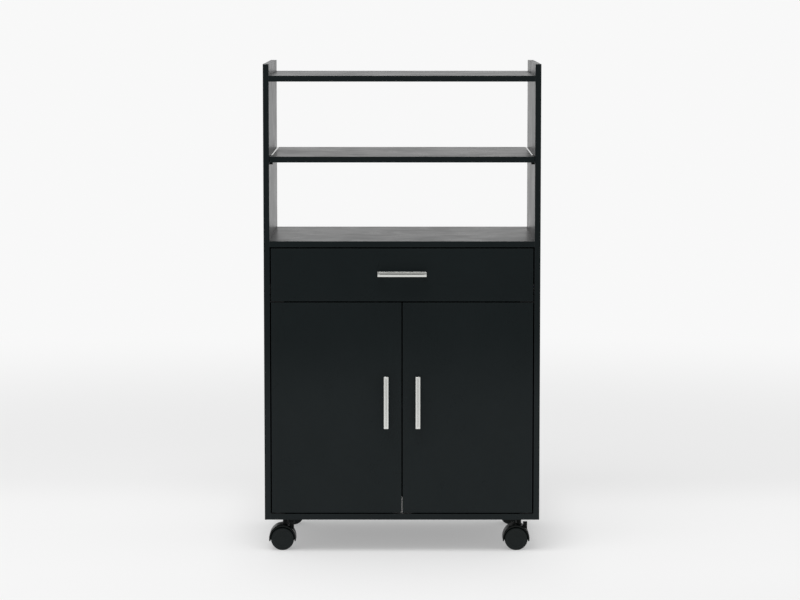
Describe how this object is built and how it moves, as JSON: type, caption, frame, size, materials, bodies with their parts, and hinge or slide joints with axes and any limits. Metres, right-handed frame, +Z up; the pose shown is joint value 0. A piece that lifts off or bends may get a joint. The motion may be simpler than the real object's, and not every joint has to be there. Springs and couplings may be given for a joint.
{
  "type": "microwave cart",
  "caption": "Tall rolling kitchen cart with two open bays, a worktop, a drawer on roller runners and a cupboard with two doors, on swivel casters.",
  "frame": {"origin": "on the floor, at the middle of the cart's outer box", "axes": "+X to the right as seen from the front, +Y to the rear, +Z up; drawer and doors face -Y"},
  "size_m": [0.6, 0.428, 1.066],
  "materials": {
    "black_melamine": "satin black melamine on particle board",
    "black_hardboard": "hardboard lacquered black on one face",
    "satin_nickel": "satin nickel plate",
    "zinc_steel": "bright zinc plate",
    "black_zinc": "black zinc plate",
    "runner_black": "black epoxy powder coat",
    "roller_nylon": "natural nylon",
    "black_plastic": "moulded, satin",
    "wheel_plastic": "moulded nylon, satin",
    "catch_grey": "pale grey moulding with steel-faced magnets",
    "strip_aluminium": "satin anodised aluminium",
    "beech": "fluted beech"
  },
  "bodies": {
    "cabinet": {"side_panel_left": "black_melamine", "side_panel_right": "black_melamine", "top_shelf": "black_melamine", "worktop": "black_melamine", "bottom_panel": "black_melamine", "divider_panel": "black_melamine", "back_panel": "black_hardboard", "cam_fittings": "zinc_steel", "wood_dowels": "beech", "shelf_pins": "black_plastic", "cabinet_runner_left": "runner_black", "cabinet_runner_right": "runner_black", "door_pivot_plates": "black_zinc", "hardware_screws": "zinc_steel", "magnetic_catch": "catch_grey", "caster_stem_sets": "zinc_steel"},
    "middle_shelf": {"middle_shelf": "black_melamine", "middle_shelf_end_strips": "strip_aluminium"},
    "cupboard_shelf": {"cupboard_shelf": "black_melamine"},
    "cabinet_rollers": {"cabinet_rollers": "roller_nylon"},
    "drawer": {"drawer_front": "black_melamine", "drawer_side_left": "black_melamine", "drawer_side_right": "black_melamine", "drawer_back": "black_melamine", "drawer_bottom": "black_hardboard", "drawer_handle": "satin_nickel", "drawer_handle_screws": "zinc_steel", "drawer_runner_left": "runner_black", "drawer_runner_right": "runner_black", "drawer_cam_fittings": "zinc_steel", "drawer_screws": "zinc_steel"},
    "drawer_rollers": {"drawer_rollers": "roller_nylon"},
    "left_door": {"left_door_panel": "black_melamine", "left_door_handle": "satin_nickel", "left_door_handle_screws": "zinc_steel", "left_door_pivot_bushes": "black_plastic", "left_door_strike_plate": "zinc_steel"},
    "right_door": {"right_door_panel": "black_melamine", "right_door_handle": "satin_nickel", "right_door_handle_screws": "zinc_steel", "right_door_pivot_bushes": "black_plastic", "right_door_strike_plate": "zinc_steel"},
    "caster_front_left": {"caster_hood_front_left": "black_plastic", "caster_axle_front_left": "zinc_steel"},
    "wheel_a_front_left": {"caster_wheel_a_front_left": "wheel_plastic"},
    "wheel_b_front_left": {"caster_wheel_b_front_left": "wheel_plastic"},
    "brake_front_left": {"brake_lever_front_left": "black_plastic"},
    "caster_front_right": {"caster_hood_front_right": "black_plastic", "caster_axle_front_right": "zinc_steel"},
    "wheel_a_front_right": {"caster_wheel_a_front_right": "wheel_plastic"},
    "wheel_b_front_right": {"caster_wheel_b_front_right": "wheel_plastic"},
    "brake_front_right": {"brake_lever_front_right": "black_plastic"},
    "caster_rear_left": {"caster_hood_rear_left": "black_plastic", "caster_axle_rear_left": "zinc_steel"},
    "wheel_a_rear_left": {"caster_wheel_a_rear_left": "wheel_plastic"},
    "wheel_b_rear_left": {"caster_wheel_b_rear_left": "wheel_plastic"},
    "caster_rear_right": {"caster_hood_rear_right": "black_plastic", "caster_axle_rear_right": "zinc_steel"},
    "wheel_a_rear_right": {"caster_wheel_a_rear_right": "wheel_plastic"},
    "wheel_b_rear_right": {"caster_wheel_b_rear_right": "wheel_plastic"}
  },
  "joints": [
    {"name": "drawer_slide", "type": "slide", "parent": "cabinet", "child": "drawer", "axis": [0, -1, 0], "range_m": [0, 0.26]},
    {"name": "cabinet_roller_spin", "type": "hinge", "parent": "cabinet", "child": "cabinet_rollers", "pos_m": [0, -0.1553, 0.5789], "axis": [1, 0, 0], "range_deg": [0, 1660]},
    {"name": "drawer_roller_spin", "type": "hinge", "parent": "drawer", "child": "drawer_rollers", "pos_m": [0, 0.1627, 0.5789], "axis": [1, 0, 0], "range_deg": [0, 1660]},
    {"name": "left_door_hinge", "type": "hinge", "parent": "cabinet", "child": "left_door", "pos_m": [-0.2723, -0.17965, 0.3191], "axis": [0, 0, -1], "range_deg": [0, 110]},
    {"name": "right_door_hinge", "type": "hinge", "parent": "cabinet", "child": "right_door", "pos_m": [0.2723, -0.17965, 0.3191], "axis": [0, 0, 1], "range_deg": [0, 110]},
    {"name": "middle_shelf_lift", "type": "slide", "parent": "cabinet", "child": "middle_shelf", "axis": [0, 0, 1], "range_m": [0, 0.15]},
    {"name": "cupboard_shelf_lift", "type": "slide", "parent": "cabinet", "child": "cupboard_shelf", "axis": [0, 0, 1], "range_m": [0, 0.15]},
    {"name": "caster_swivel_front_left", "type": "hinge", "parent": "cabinet", "child": "caster_front_left", "pos_m": [-0.2568, -0.141, 0.06], "axis": [0, 0, 1], "continuous": true},
    {"name": "wheel_spin_a_front_left", "type": "hinge", "parent": "caster_front_left", "child": "wheel_a_front_left", "pos_m": [-0.2628, -0.1285, 0.0254], "axis": [0, 1, 0], "continuous": true},
    {"name": "wheel_spin_b_front_left", "type": "hinge", "parent": "caster_front_left", "child": "wheel_b_front_left", "pos_m": [-0.2628, -0.1535, 0.0254], "axis": [0, 1, 0], "continuous": true},
    {"name": "brake_tip_front_left", "type": "hinge", "parent": "caster_front_left", "child": "brake_front_left", "pos_m": [-0.2426, -0.141, 0.0404], "axis": [0, 1, 0], "range_deg": [0, 30]},
    {"name": "caster_swivel_front_right", "type": "hinge", "parent": "cabinet", "child": "caster_front_right", "pos_m": [0.2568, -0.141, 0.06], "axis": [0, 0, 1], "continuous": true},
    {"name": "wheel_spin_a_front_right", "type": "hinge", "parent": "caster_front_right", "child": "wheel_a_front_right", "pos_m": [0.2508, -0.1285, 0.0254], "axis": [0, 1, 0], "continuous": true},
    {"name": "wheel_spin_b_front_right", "type": "hinge", "parent": "caster_front_right", "child": "wheel_b_front_right", "pos_m": [0.2508, -0.1535, 0.0254], "axis": [0, 1, 0], "continuous": true},
    {"name": "brake_tip_front_right", "type": "hinge", "parent": "caster_front_right", "child": "brake_front_right", "pos_m": [0.271, -0.141, 0.0404], "axis": [0, 1, 0], "range_deg": [0, 30]},
    {"name": "caster_swivel_rear_left", "type": "hinge", "parent": "cabinet", "child": "caster_rear_left", "pos_m": [-0.2568, 0.169, 0.06], "axis": [0, 0, 1], "continuous": true},
    {"name": "wheel_spin_a_rear_left", "type": "hinge", "parent": "caster_rear_left", "child": "wheel_a_rear_left", "pos_m": [-0.2508, 0.1565, 0.0254], "axis": [0, 1, 0], "continuous": true},
    {"name": "wheel_spin_b_rear_left", "type": "hinge", "parent": "caster_rear_left", "child": "wheel_b_rear_left", "pos_m": [-0.2508, 0.1815, 0.0254], "axis": [0, 1, 0], "continuous": true},
    {"name": "caster_swivel_rear_right", "type": "hinge", "parent": "cabinet", "child": "caster_rear_right", "pos_m": [0.2568, 0.169, 0.06], "axis": [0, 0, 1], "continuous": true},
    {"name": "wheel_spin_a_rear_right", "type": "hinge", "parent": "caster_rear_right", "child": "wheel_a_rear_right", "pos_m": [0.2508, 0.1815, 0.0254], "axis": [0, 1, 0], "continuous": true},
    {"name": "wheel_spin_b_rear_right", "type": "hinge", "parent": "caster_rear_right", "child": "wheel_b_rear_right", "pos_m": [0.2508, 0.1565, 0.0254], "axis": [0, 1, 0], "continuous": true}
  ],
  "couplings": [
    {"joint": "cabinet_roller_spin", "follows": "drawer_slide", "rad_per_m": 111.11},
    {"joint": "drawer_roller_spin", "follows": "drawer_slide", "rad_per_m": 111.11}
  ]
}
